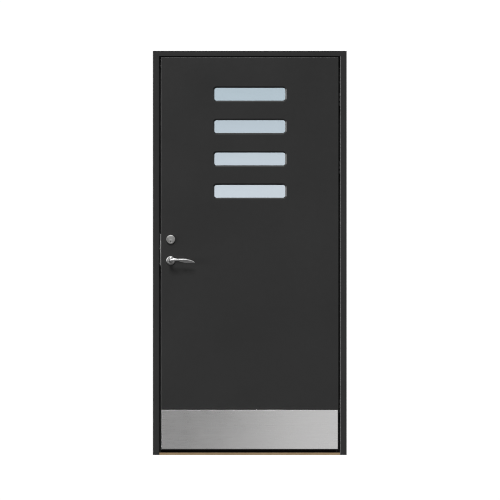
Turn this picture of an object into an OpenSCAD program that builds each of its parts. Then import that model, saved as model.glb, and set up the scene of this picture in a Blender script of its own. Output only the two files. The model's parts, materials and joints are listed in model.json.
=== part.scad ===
// Outward-opening insulated front door with its frame.
// Millimetres, +Z up. Origin at the middle of the threshold's underside, in the
// middle of the frame's depth. The outside faces -Y, the lock is on -X and the
// hinges are on +X.

/* [Frame] */
// Overall width over both jambs
frame_w = 998; // [898:1:1098]
// Overall height from the threshold's underside to the top of the head
frame_h = 2080; // [1980:1:2180]
// Depth of the frame, front to back
frame_d = 105; // [105:1:125]
// Width of a jamb's front face
jamb_w = 34; // [32:0.5:45]
// Height of the head's front face
head_h = 28; // [28:0.5:45]
// How far the stop stands in from the jamb, behind the leaf
stop_w = 16; // [14:0.5:20]
// How far the frame's front stands proud of the leaf's front
frame_proud = 3; // [2:0.5:4]
// Radius of the jambs' front edges
frame_round = 4; // [1:0.5:5]
// Radius of the head's front edges
head_round = 1.5; // [1:0.5:3]
// Height of the threshold under the leaf
sill_h = 12.5; // [8:0.5:13]
// Height of the threshold's upstand behind the leaf
sill_back_h = 34; // [32:0.5:38]

/* [Leaf] */
// Thickness of the leaf over both skins
leaf_t = 62; // [60:1:64]
// Gap between the leaf and each jamb
side_gap = 7; // [6:0.1:8]
// Gap between the leaf and the head
top_gap = 5; // [5:0.5:7]
// Height of the leaf's bottom edge above the threshold's underside
leaf_z = 24.3; // [20:0.1:25]
// Thickness of each skin
skin_t = 5; // [4.5:0.5:6]
// Radius of the leaf's front edges
leaf_round = 4.5; // [1:0.5:4.5]
// Bevel of the lock edge over the leaf's thickness
bevel = 2.5; // [2:0.1:3]
// Width of the stiles inside the leaf
stile_w = 80; // [75:1:100]
// Height of the top and bottom rails inside the leaf
rail_h = 90; // [60:1:120]

/* [Windows] */
// Visible width of a pane
pane_w = 365; // [200:1:420]
// Visible height of a pane
pane_h = 66; // [50:1:90]
// Radius of a pane's visible corners
pane_r = 12; // [8:1:20]
// Distance from the leaf's top edge down to the top window's middle
window_drop = 190; // [175:0.5:230]
// Distance between the middles of neighbouring windows
window_pitch = 166.6; // [150:0.1:180]
// Width of the outer bead's sloping face
bead_w = 8; // [5:0.5:9]
// Thickness of a sealed glazing unit
glass_t = 28; // [24:1:30]

/* [Kick plate] */
// Distance from each side of the leaf to the kick plate
kick_inset = 5; // [5:0.5:60]
// Height of the kick plate
kick_h = 200; // [100:1:400]
// Height of its lower edge
kick_z = 31.4; // [30:0.1:60]
// Thickness of its sheet
kick_t = 1.5; // [1:0.1:2]

/* [Lock and handle] */
// Distance from the leaf's lock edge to the handle's axis
backset = 51.5; // [50:0.1:55]
// Height of the handle's axis
handle_z = 1001; // [950:1:1050]
// Distance from the handle's axis up to the cylinder's middle
cylinder_rise = 109; // [105:1:115]
// Distance from the cylinder's middle down to its plug
plug_drop = 10.5; // [9:0.5:10.5]
// Diameter of a rose
rose_d = 46; // [44:1:54]
// Distance from the leaf's face to the lever's middle
lever_reach = 50; // [46:1:56]

/* [Hinges] */
// Height of the bottom hinge's middle
hinge_low_z = 250; // [240:1:400]
// Height of the middle hinge's middle
hinge_mid_z = 1480; // [900:1:1520]
// Distance from the leaf's top edge down to the top hinge's middle
hinge_drop = 217; // [180:0.5:280]
// Height of a hinge cup
cup_h = 150; // [130:1:180]
// Width of a hinge cup
cup_w = 28; // [28:1:30]
// Inner radius of a hinge's curved blades
blade_r = 23; // [22:0.5:24]
// Thickness of a curved blade
blade_t = 6; // [5:0.5:6]

/* [Hidden] */

window_count = 4;                        // each has its own glass node
paint = "#323232";
steel = "#c9cacb";

hd = frame_d / 2;                        // half the frame's depth
xj = frame_w / 2 - jamb_w;               // inner face of a jamb's front part
xs = xj - stop_w;                        // inner face of a stop
jamb_h = frame_h - head_h;               // the head sits on the jambs
leaf_x = xj - side_gap;                  // half the leaf's width
y0 = -hd + frame_proud;                  // leaf's outer face
y1 = y0 + leaf_t;                        // leaf's inner face
y_stop = y1 + 5;                         // face of the stops
z1 = jamb_h - top_gap;                   // leaf's top edge
ym = (y0 + y1) / 2;                      // middle of the leaf's thickness
seal_w = 7;                              // width of a seal
seal_t = y_stop - y1 - 0.5;              // a seal ends 0.5 short of the leaf
bevel_a = atan(bevel / leaf_t);          // angle of the lock edge
hx = -leaf_x + backset;                  // handle and cylinder axis
cyl_z = handle_z + cylinder_rise;        // cylinder's middle
window_top_z = z1 - window_drop;         // top window's middle
kick_w = 2 * (leaf_x - kick_inset);      // width of the kick plate
hinge_z = [hinge_low_z, hinge_mid_z, z1 - hinge_drop];
lock_mid = handle_z + 55.5;              // middle of the faceplate and strike
latch_z = handle_z + 12;                 // middle of the latch bolt
bolt_z = handle_z + 86;                  // middle of the dead bolt
egg_drop = 2.6;                          // from a cylinder's upper round to its lower one
guard_w = 4.2;                           // how far the edge guard stands off the leaf
guard_h = 161;                           // its height
fix_z = [140, 700, 1320, frame_h - 120]; // frame fixings
fix_y = 0;                               // their place in the frame's depth
fix_r = 7;                               // radius of a fixing hole
blade_h = 16;                            // height of a hinge blade
blade_pitch = 24;                        // three blades in each hinge
blade_span = 68;                         // half the blade's arc, in degrees
cup_y = y0 + skin_t + 0.5 + cup_w / 2;   // middle of a cup's width
leaf_cup_d = blade_r + blade_t + 2.8;    // depth of the leaf's cups
frame_cup_d = blade_r + blade_t + 2.8 - side_gap; // depth of the frame's cups
ax = pane_w / 2 - pane_r;                // middle of a pane's corner, across
az = pane_h / 2 - pane_r;                // and up
glass_y = y0 + 10;                       // outer face of the glass

function window_z(i) = window_top_z - window_pitch * i;
function lock_edge(y) = -leaf_x + bevel * (y - y0) / leaf_t;

// ---- shared shapes ----

// What lies outside a rounded corner at the origin, for a solid in the +x +y quarter
module corner_cut(r) {
  difference() {
    translate([-1, -1]) square([r + 1, r + 1]);
    translate([r, r]) circle(r = r, $fn = 64);
  }
}

// A rectangle with round corners about the corner middles (ax, az)
module pane_outline(r) {
  square([2 * ax, 2 * (az + r)], center = true);
  square([2 * (ax + r), 2 * az], center = true);
  for (sx = [-1, 1], sz = [-1, 1])
    translate([sx * ax, sz * az]) circle(r = r, $fn = 64);
}

// An outline in X and Z made into a slab from ya to yb
module along_y(ya, yb) {
  translate([0, yb, 0]) rotate([90, 0, 0]) linear_extrude(height = yb - ya) children();
}

// An outline in Y and Z made into a bar from xa to xb
module along_x(xa, xb) {
  translate([xa, 0, 0]) rotate([90, 0, 90]) linear_extrude(height = xb - xa) children();
}

// All four window openings, r wide about the corner middles
module window_holes(r, ya, yb) {
  for (i = [0 : window_count - 1])
    translate([0, 0, window_z(i)]) along_y(ya, yb) pane_outline(r);
}

// A ring round a window. The profile's first value is the distance from the corner
// middles, its second is y
module window_ring(profile) {
  turned = [for (p = profile) [p[0], -p[1]]];
  for (q = [[1, 1, 0], [-1, 1, 90], [-1, -1, 180], [1, -1, 270]])
    translate([q[0] * ax, 0, q[1] * az]) rotate([90, 0, 0]) rotate([0, 0, q[2]])
      rotate_extrude(angle = 90, $fn = 96) polygon(turned);
  along_x(-ax, ax) polygon([for (p = profile) [p[1], az + p[0]]]);
  along_x(-ax, ax) polygon([for (p = profile) [p[1], -az - p[0]]]);
  translate([0, 0, -az]) linear_extrude(height = 2 * az)
    polygon([for (p = profile) [ax + p[0], p[1]]]);
  translate([0, 0, -az]) linear_extrude(height = 2 * az)
    polygon([for (p = profile) [-ax - p[0], p[1]]]);
}

// A leaf piece's plan between two depths, with the bevelled lock edge
module leaf_plan(ya, yb) {
  polygon([[lock_edge(ya), ya], [leaf_x, ya], [leaf_x, yb], [lock_edge(yb), yb]]);
}

// A shape turned about an axis along Y, standing out of the face at y.
// out is -1 for the outer face and 1 for the inner one
module on_face(x, z, out) {
  translate([x, out < 0 ? y0 : y1, z]) rotate([out < 0 ? 90 : -90, 0, 0]) children();
}

// A hinge cup's outline in Y and Z, with round ends
module cup_outline() {
  square([cup_w, cup_h - cup_w], center = true);
  for (s = [-1, 1]) translate([0, s * (cup_h - cup_w) / 2]) circle(d = cup_w, $fn = 64);
}

module cup_block(xa, xb) {
  translate([0, cup_y, 0]) along_x(xa, xb) cup_outline();
}

// The curved slots that the hinge blades slide in
module cup_slots() {
  c = 0.4;
  intersection() {
    for (k = [-1, 0, 1])
      translate([leaf_x, y0, k * blade_pitch - blade_h / 2 - c]) difference() {
        cylinder(r = blade_r + blade_t + c, h = blade_h + 2 * c, $fn = 128);
        translate([0, 0, -1]) cylinder(r = blade_r - c, h = blade_h + 2 * c + 2, $fn = 128);
      }
    translate([leaf_x - 60, cup_y - cup_w / 2 + 0.8, -60]) cube([120, 60, 120]);
  }
}

// Places on the bevelled lock edge: local x runs into the leaf, y along the edge
module on_lock_edge(z) {
  translate([lock_edge(ym), ym, z]) rotate([0, 0, -bevel_a]) children();
}

// ---- frame ----

module jamb_plan() {
  difference() {
    translate([xj, -hd]) square([jamb_w, frame_d]);
    translate([xj, -hd]) corner_cut(frame_round);
    translate([frame_w / 2, -hd]) mirror([1, 0]) corner_cut(frame_round);
  }
}

module jamb() {
  difference() {
    linear_extrude(height = jamb_h) jamb_plan();
    // small bevel on the top front edge, at the joint with the head
    translate([frame_w / 2 - jamb_w / 2, -hd, jamb_h]) rotate([45, 0, 0]) cube([jamb_w + 2, 1.4, 1.4], center = true);
    for (z = fix_z)
      translate([xj - 1, fix_y, z]) rotate([0, 90, 0]) cylinder(r = fix_r, h = jamb_w + 2, $fn = 48);
  }
}

module hinge_jamb() {
  color(paint) difference() {
    jamb();
    for (z = hinge_z) translate([0, 0, z]) cup_block(xj - 1, xj + frame_cup_d);
  }
}

// The planted stop behind the leaf's edge, up to the head's stop
module hinge_stop() {
  color(paint) linear_extrude(height = jamb_h - stop_w) difference() {
    translate([xs, y_stop]) square([stop_w, hd - y_stop]);
    translate([xs, y_stop]) corner_cut(1.5);
    translate([xs, hd]) mirror([0, 1]) corner_cut(3);
  }
}

module lock_stop() {
  mirror([1, 0, 0]) hinge_stop();
}

module lock_jamb() {
  color(paint) difference() {
    mirror([1, 0, 0]) jamb();
    // pockets behind the strike plate
    translate([-xj - 20, ym - 9, latch_z - 15]) cube([21, 18, 30]);
    translate([-xj - 24, ym - 10, bolt_z - 21]) cube([25, 20, 42]);
  }
}

module head() {
  color(paint) difference() {
    along_x(-frame_w / 2, frame_w / 2) difference() {
      translate([-hd, jamb_h]) square([frame_d, head_h]);
      translate([-hd, frame_h]) mirror([0, 1]) corner_cut(head_round);
      translate([-hd, jamb_h]) corner_cut(head_round);
    }
    // round the outer front corners of the two ends
    for (s = [0, 1]) mirror([s, 0, 0])
      translate([frame_w / 2, -hd, jamb_h - 1]) linear_extrude(height = head_h + 2)
        mirror([1, 0]) corner_cut(frame_round);
  }
}

module head_stop() {
  color(paint) along_x(-xj, xj) difference() {
    translate([y_stop, jamb_h - stop_w]) square([hd - y_stop, stop_w]);
    translate([y_stop, jamb_h - stop_w]) corner_cut(1.5);
    translate([hd, jamb_h - stop_w]) mirror([1, 0]) corner_cut(3);
  }
}

module threshold() {
  color("#8f7654") difference() {
    union() {
      along_x(-xj, xj) difference() {
        translate([-hd, 0]) square([hd + y_stop, sill_h]);
        translate([-hd, sill_h]) mirror([0, 1]) corner_cut(3);
      }
      along_x(-xs, xs) difference() {
        polygon([[y_stop - 2, 0], [hd, 0], [hd, sill_back_h], [y_stop, sill_back_h],
          [y_stop, sill_h - 2], [y_stop - 2, sill_h - 2]]);
        translate([hd, sill_back_h]) rotate(180) corner_cut(4);
      }
    }
    // the jambs' stops stand on the floor beside the upstand
    for (s = [-1, 1]) translate([s * (xs + stop_w / 2 + 0.5), y_stop + 10, 10])
      cube([stop_w + 1, 20, 60], center = true);
  }
}

// A seal's section: a flat base on the stop and a round front
module seal_section(w) {
  translate([-w / 2, -1.5]) square([w, 1.5]);
  intersection() {
    translate([-w / 2 + 0.6, -seal_t]) square([w - 1.2, seal_t]);
    translate([0, -seal_t + w / 2 - 0.6]) circle(d = w - 1.2, $fn = 48);
  }
  translate([-w / 2 + 0.6, -seal_t + w / 2 - 0.6]) square([w - 1.2, max(0.2, seal_t - w / 2 + 0.6 - 1)]);
}

seal_x = xs + 1 + seal_w / 2;

module seal_hinge_side() {
  color("#151515") translate([seal_x, y_stop, sill_h + 0.5])
    linear_extrude(height = jamb_h - stop_w + 1.5 - sill_h - 0.5) seal_section(seal_w);
}

module seal_lock_side() {
  mirror([1, 0, 0]) seal_hinge_side();
}

module seal_head() {
  color("#151515") translate([0, y_stop, jamb_h - stop_w + 2 + seal_w / 2])
    rotate([0, 90, 0]) translate([0, 0, -seal_x - seal_w / 2])
      linear_extrude(height = 2 * seal_x + seal_w) seal_section(seal_w);
}

module seal_threshold() {
  color("#151515") translate([0, y_stop, sill_back_h - 2 - seal_w / 2])
    rotate([0, 90, 0]) translate([0, 0, -xs])
      linear_extrude(height = 2 * xs) seal_section(seal_w);
}

module strike_plate() {
  h = 170;
  color(steel) difference() {
    translate([-xj, y0 + 8, lock_mid - h / 2]) cube([2, 48, h]);
    translate([-xj - 1, ym - 8, latch_z - 13]) cube([6, 16, 26]);
    translate([-xj - 1, ym - 9, bolt_z - 19]) cube([6, 18, 38]);
  }
}

module hinge_cups_frame() {
  color("#3a3a3a") for (z = hinge_z) translate([0, 0, z]) difference() {
    cup_block(xj, xj + frame_cup_d);
    cup_slots();
  }
}

// ---- leaf ----

module spindle_bore(ya, yb) {
  translate([hx, ya, handle_z]) rotate([-90, 0, 0]) cylinder(r = 9, h = yb - ya, $fn = 48);
}

module leaf_outer_skin() {
  ya = y0;
  yb = y0 + skin_t;
  color(paint) difference() {
    intersection() {
      translate([0, 0, leaf_z]) linear_extrude(height = z1 - leaf_z) difference() {
        leaf_plan(ya, yb);
        translate([-leaf_x, ya]) corner_cut(leaf_round);
        translate([leaf_x, ya]) mirror([1, 0]) corner_cut(leaf_round);
      }
      along_x(-leaf_x - 1, leaf_x + 1) difference() {
        translate([ya, leaf_z]) square([skin_t, z1 - leaf_z]);
        translate([ya, leaf_z]) corner_cut(leaf_round);
        translate([ya, z1]) mirror([0, 1]) corner_cut(leaf_round);
      }
    }
    window_holes(pane_r + bead_w, ya - 1, yb + 1);
    spindle_bore(ya - 1, yb + 1);
  }
}

module leaf_inner_skin() {
  ya = y1 - skin_t;
  color(paint) difference() {
    translate([0, 0, leaf_z]) linear_extrude(height = z1 - leaf_z) difference() {
      leaf_plan(ya, y1);
      translate([lock_edge(y1), y1]) mirror([0, 1]) corner_cut(1);
      translate([leaf_x, y1]) rotate(180) corner_cut(1);
    }
    window_holes(pane_r + 14, ya - 1, y1 + 1);
    spindle_bore(ya - 1, y1 + 1);
  }
}

// The space between the skins, from xa to xb and za to zb
module leaf_fill(xa, xb, za, zb) {
  intersection() {
    translate([0, 0, za]) linear_extrude(height = zb - za) leaf_plan(y0 + skin_t, y1 - skin_t);
    translate([xa, y0, za]) cube([xb - xa, leaf_t, zb - za]);
  }
}

module leaf_core() {
  color("#d8cba0") difference() {
    translate([-leaf_x + stile_w, y0 + skin_t, leaf_z + rail_h])
      cube([2 * (leaf_x - stile_w), leaf_t - 2 * skin_t, z1 - leaf_z - 2 * rail_h]);
    window_holes(pane_r + 14, y0, y1);
  }
}

module leaf_hinge_stile() {
  color(paint) difference() {
    leaf_fill(leaf_x - stile_w, leaf_x + 1, leaf_z, z1);
    for (z = hinge_z) translate([0, 0, z]) cup_block(leaf_x - leaf_cup_d, leaf_x + 1);
  }
}

module leaf_lock_stile() {
  color(paint) difference() {
    leaf_fill(-leaf_x - 1, -leaf_x + stile_w, leaf_z, z1);
    spindle_bore(y0, y1);
    on_lock_edge(lock_mid) translate([-1, -11, -117.5]) cube([4, 22, 235]);
    on_lock_edge(latch_z) translate([2.9, -6.4, -11.4]) cube([20, 12.8, 22.8]);
    on_lock_edge(bolt_z) translate([2.9, -7.4, -17.4]) cube([20, 14.8, 34.8]);
  }
}

module leaf_top_rail() {
  color(paint) leaf_fill(-leaf_x + stile_w, leaf_x - stile_w, z1 - rail_h, z1);
}

module leaf_bottom_rail() {
  color(paint) leaf_fill(-leaf_x + stile_w, leaf_x - stile_w, leaf_z, leaf_z + rail_h);
}

module glass(i) {
  color("#c0ccd4") translate([0, 0, window_z(i)])
    along_y(glass_y, glass_y + glass_t) pane_outline(pane_r + 13);
}

// Sloping face towards the glass, and a flange behind the outer skin
module window_beads_outer() {
  color(paint) for (i = [0 : window_count - 1]) translate([0, 0, window_z(i)]) window_ring([
    [pane_r + bead_w, y0],
    [pane_r + bead_w - 0.5, y0],
    [pane_r, y0 + 6.5],
    [pane_r, glass_y],
    [pane_r + 13, glass_y],
    [pane_r + 13, y0 + skin_t],
    [pane_r + bead_w, y0 + skin_t]
  ]);
}

// Screwed on from inside, they hold the glass against the outer beads
module window_beads_inner() {
  yg = glass_y + glass_t;
  color(paint) for (i = [0 : window_count - 1]) translate([0, 0, window_z(i)]) window_ring([
    [pane_r, yg],
    [pane_r, y1 - 2],
    [pane_r + 5, y1 + 4],
    [pane_r + 18, y1 + 4],
    [pane_r + 19, y1 + 3],
    [pane_r + 19, y1],
    [pane_r + 13, y1],
    [pane_r + 13, yg]
  ]);
}

module kick_plate() {
  color(steel) translate([-kick_w / 2, y0 - kick_t, kick_z]) cube([kick_w, kick_t, kick_h]);
}

module lock_faceplate() {
  color(steel) on_lock_edge(lock_mid) difference() {
    translate([0, -11, -117.5]) cube([3, 22, 235]);
    translate([-1, -6.4, latch_z - lock_mid - 11.4]) cube([5, 12.8, 22.8]);
    translate([-1, -7.4, bolt_z - lock_mid - 17.4]) cube([5, 14.8, 34.8]);
  }
}

// An angle strip on the lock edge, in front of the faceplate. Its bar fills part of the
// gap beside the latch, so that nothing can be pushed in there
module edge_guard() {
  ye = (ym - y0) / cos(bevel_a);
  color(steel) on_lock_edge(lock_mid) translate([0, 0, -guard_h / 2])
    linear_extrude(height = guard_h) difference() {
      union() {
        translate([-guard_w, -ye]) square([guard_w, 5.5]);
        translate([-1.5, -ye]) square([1.5, 18]);
      }
      translate([-guard_w, -ye]) corner_cut(1.2);
    }
}

module latch_bolt() {
  color(steel) on_lock_edge(latch_z) translate([-0.5, -6, -11]) cube([20, 12, 22]);
}

module dead_bolt() {
  color(steel) on_lock_edge(bolt_z) translate([-0.5, -7, -17]) cube([20, 14, 34]);
}

// Nearly a round: a large one above and a slightly smaller one egg_drop below it
module egg(ra) {
  circle(r = ra, $fn = 96);
  translate([0, -egg_drop]) circle(r = ra - 1.5, $fn = 96);
}

module cylinder_ring() {
  color(steel) on_face(hx, cyl_z, -1) {
    difference() {
      union() {
        linear_extrude(height = 6) egg(22);
        linear_extrude(height = 7.6) egg(21);
        linear_extrude(height = 9.5) egg(19.6);
      }
      translate([0, 0, -1]) linear_extrude(height = 12) egg(17.5);
    }
  }
}

module lock_cylinder() {
  color("#9c9c9a") on_face(hx, cyl_z, -1) difference() {
    linear_extrude(height = 8.4) egg(17.45);
    translate([0, -plug_drop, -1]) cylinder(r = 7.05, h = 12, $fn = 64);
  }
}

module cylinder_plug() {
  color(steel) on_face(hx, cyl_z - plug_drop, -1) difference() {
    cylinder(r = 7, h = 9.2, $fn = 64);
    translate([-0.9, -4, 4.2]) cube([1.8, 8, 6]);
  }
}

// A flat round rose with a rim, a hollow inside the rim and a collar round the neck
module rose() {
  rotate_extrude($fn = 128) polygon([
    [10.3, 0], [rose_d / 2, 0], [rose_d / 2, 5], [rose_d / 2 - 1.5, 8],
    [rose_d / 2 - 4, 9], [rose_d / 2 - 6, 7], [13.5, 6.6], [13.2, 9], [10.3, 9]
  ]);
}

module rose_outer() {
  color(steel) on_face(hx, handle_z, -1) rose();
}

module rose_inner() {
  color(steel) on_face(hx, handle_z, 1) rose();
}

module turn_rose() {
  color(steel) on_face(hx, cyl_z, 1) rotate_extrude($fn = 128) polygon([
    [7.3, 0], [rose_d / 2, 0], [rose_d / 2, 5], [rose_d / 2 - 1.5, 8],
    [rose_d / 2 - 4, 9], [7.3, 9]
  ]);
}

// The inside turn: a round neck with an upright oval grip
module thumb_turn() {
  color(steel) on_face(hx, cyl_z, 1) {
    translate([0, 0, 2]) cylinder(r = 7, h = 12, $fn = 64);
    translate([0, 0, 13]) linear_extrude(height = 15) {
      square([9, 24], center = true);
      for (s = [-1, 1]) translate([0, s * 12]) circle(d = 9, $fn = 48);
    }
  }
}

module hinge_cups_leaf() {
  color("#3a3a3a") for (z = hinge_z) translate([0, 0, z]) difference() {
    cup_block(leaf_x - leaf_cup_d, leaf_x);
    cup_slots();
  }
}

// Curved blades about the hinge axis, which follow at half the leaf's angle
module hinge_links() {
  color("#262626") for (z = hinge_z, k = [-1, 0, 1])
    translate([leaf_x, y0, z + k * blade_pitch - blade_h / 2])
      rotate([0, 0, 90 - blade_span]) rotate_extrude(angle = 2 * blade_span, $fn = 128)
        translate([blade_r, 0]) square([blade_t, blade_h]);
}

// ---- handle ----

// Stations along the lever, from the neck in the rose round the bend to the tip:
// [place along x, place out from the face, heading from straight out (0) to along x (90),
//  top, bottom, thickness at the top, thickness at the bottom, how far the bottom leans in]
bend = 16;
lv = lever_reach;
STATIONS = [
  [0, 2, 0, 10, -10, 20, 20, 0],
  [0, lv - bend - 4, 0, 10, -10, 20, 20, 0],
  [0, lv - bend, 0, 10, -10, 20, 20, 0],
  [bend * (1 - cos(30)), lv - bend + bend * sin(30), 30, 10, -9.4, 19.4, 19, 0],
  [bend * (1 - cos(60)), lv - bend + bend * sin(60), 60, 10, -7, 16.5, 14, 0],
  [bend, lv, 90, 9.9, -4.2, 12.5, 10.5, 0],
  [24, lv, 90, 9.3, -2.8, 10.2, 8.6, 0.4],
  [33, lv, 90, 8.9, -2.2, 9.2, 6.8, 1.2],
  [43, lv, 90, 8.9, -3.8, 8.8, 5, 2.6],
  [51, lv, 90, 9, -6.8, 8.6, 3.8, 4.2],
  [60, lv, 90, 9, -9, 8.4, 3.2, 5.6],
  [72, lv - 0.4, 90, 8.9, -11.6, 8.2, 3, 6.6],
  [80, lv - 0.8, 90, 8.4, -12.2, 8, 3, 6.8],
  [86, lv - 1.2, 90, 7.2, -12.3, 7.6, 3, 6.8],
  [97, lv - 2.3, 90, 4.2, -12.4, 6.8, 3, 5.8],
  [107, lv - 3.5, 90, 1.4, -12.4, 6, 3, 4.6],
  [112, lv - 4.3, 90, -0.8, -12.4, 5.4, 2.8, 3.8],
  [117, lv - 5.2, 90, -3.2, -12.4, 4.6, 2.6, 2.8],
  [120.5, lv - 6.1, 90, -6.2, -12.4, 3.6, 2.2, 1.8],
  [123, lv - 7, 90, -9.6, -12.4, 1.8, 1.4, 0.6]
];
SUB = 3;      // steps between stations
SIDES = 24;   // points round a section

// Smooth values between stations
function blend4(a, b, c, d, t) =
  0.5 * (2 * b + (c - a) * t + (2 * a - 5 * b + 4 * c - d) * t * t
    + (3 * b - a - 3 * c + d) * t * t * t);
function station(i) = STATIONS[min(max(i, 0), len(STATIONS) - 1)];
function section(i, t) = blend4(station(i - 1), station(i), station(i + 1), station(i + 2), t);
SECTIONS = concat(
  [for (i = [0 : len(STATIONS) - 2], k = [0 : SUB - 1]) section(i, k / SUB)],
  [station(len(STATIONS) - 1)]
);

// One section's points: u runs round it, v runs from its top to its bottom
function ring(s) = [for (j = [0 : SIDES - 1])
  let (
    u = 360 * j / SIDES,
    v = (1 - sin(u)) / 2,
    n = cos(u) * (s[5] + (s[6] - s[5]) * v) / 2 - s[7] * pow(v, 1.4),
    z = s[3] - v * (s[3] - s[4])
  )
  [s[0] - n * cos(s[2]), -(s[1] + n * sin(s[2])), z]
];

module lever() {
  rings = len(SECTIONS);
  pts = [for (s = SECTIONS) each ring(s)];
  sides = [for (i = [0 : rings - 2], j = [0 : SIDES - 1])
    let (a = i * SIDES + j, b = i * SIDES + (j + 1) % SIDES)
    each [[a, b, b + SIDES], [a, b + SIDES, a + SIDES]]];
  first = [for (j = [0 : SIDES - 1]) SIDES - 1 - j];
  last = [for (j = [0 : SIDES - 1]) (rings - 1) * SIDES + j];
  polyhedron(points = pts, faces = concat([first], sides, [last]), convexity = 6);
}

module lever_outer() {
  color(steel) translate([hx, y0, handle_z]) lever();
}

module lever_inner() {
  color(steel) translate([hx, y1, handle_z]) mirror([0, 1, 0]) lever();
}

module spindle() {
  color("#8a8a8a") translate([hx - 4, y0 - 2, handle_z - 4]) cube([8, leaf_t + 4, 8]);
}

hinge_jamb();
lock_jamb();
head();
hinge_stop();
lock_stop();
head_stop();
threshold();
seal_hinge_side();
seal_lock_side();
seal_head();
seal_threshold();
strike_plate();
hinge_cups_frame();
leaf_outer_skin();
leaf_inner_skin();
leaf_core();
leaf_hinge_stile();
leaf_lock_stile();
leaf_top_rail();
leaf_bottom_rail();
glass(0);  // glass_1
glass(1);  // glass_2
glass(2);  // glass_3
glass(3);  // glass_4
window_beads_outer();
window_beads_inner();
kick_plate();
lock_faceplate();
edge_guard();
latch_bolt();
dead_bolt();
cylinder_ring();
lock_cylinder();
cylinder_plug();
turn_rose();
thumb_turn();
rose_outer();
rose_inner();
hinge_cups_leaf();
hinge_links();
lever_outer();
lever_inner();
spindle();
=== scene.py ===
import json
from math import acos, asin, atan, cos, exp, pi, radians, sin, tan

import bmesh
import bpy
from mathutils import Matrix, Vector

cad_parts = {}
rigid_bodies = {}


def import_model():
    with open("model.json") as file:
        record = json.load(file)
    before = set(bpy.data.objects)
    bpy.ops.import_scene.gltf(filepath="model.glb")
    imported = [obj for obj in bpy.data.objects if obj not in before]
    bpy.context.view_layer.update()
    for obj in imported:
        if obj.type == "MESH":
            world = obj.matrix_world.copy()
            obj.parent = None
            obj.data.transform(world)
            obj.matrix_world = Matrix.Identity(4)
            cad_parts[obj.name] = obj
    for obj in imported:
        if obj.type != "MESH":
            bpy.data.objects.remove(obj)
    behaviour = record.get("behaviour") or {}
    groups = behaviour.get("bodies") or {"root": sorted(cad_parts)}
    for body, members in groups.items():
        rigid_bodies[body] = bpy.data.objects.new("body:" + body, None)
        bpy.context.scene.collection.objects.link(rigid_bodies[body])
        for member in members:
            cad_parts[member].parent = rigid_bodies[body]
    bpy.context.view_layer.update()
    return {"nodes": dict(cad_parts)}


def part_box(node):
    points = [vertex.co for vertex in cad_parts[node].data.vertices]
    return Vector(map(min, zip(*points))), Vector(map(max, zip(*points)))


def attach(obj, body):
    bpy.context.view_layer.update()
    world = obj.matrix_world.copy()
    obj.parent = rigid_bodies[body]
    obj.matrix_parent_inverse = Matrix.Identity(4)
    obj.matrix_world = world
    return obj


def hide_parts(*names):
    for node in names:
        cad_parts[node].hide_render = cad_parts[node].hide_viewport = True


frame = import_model()
NODES = frame["nodes"]
scene = bpy.context.scene
MM = 0.001

# ---------------------------------------------------------------- dimensions, mm
LEAF_X = 458.0
XJ = 465.0
Y0 = -49.5
Y1 = 12.5
YM = (Y0 + Y1) / 2
LEAF_T = 62.0
BEVEL = 2.5
BEVEL_A = atan(BEVEL / LEAF_T)
HX = -406.5
HANDLE_Z = 1001.0
CYL_Z = 1110.0
PLUG_DROP = 10.5
EGG_DROP = 2.6
LOCK_MID = 1056.5
LATCH_Z = 1013.0
BOLT_Z = 1087.0
HINGE_Z = (250.0, 1480.0, 1830.0)
FIX_Z = (140.0, 700.0, 1320.0, 1960.0)
WINDOW_Z = tuple(1857.0 - 166.6 * i for i in range(4))
PANE_W, PANE_H, PANE_R = 365.0, 66.0, 12.0
AX, AZ = PANE_W / 2 - PANE_R, PANE_H / 2 - PANE_R
GLASS_Y = Y0 + 10
GLASS_T = 28.0


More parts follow.
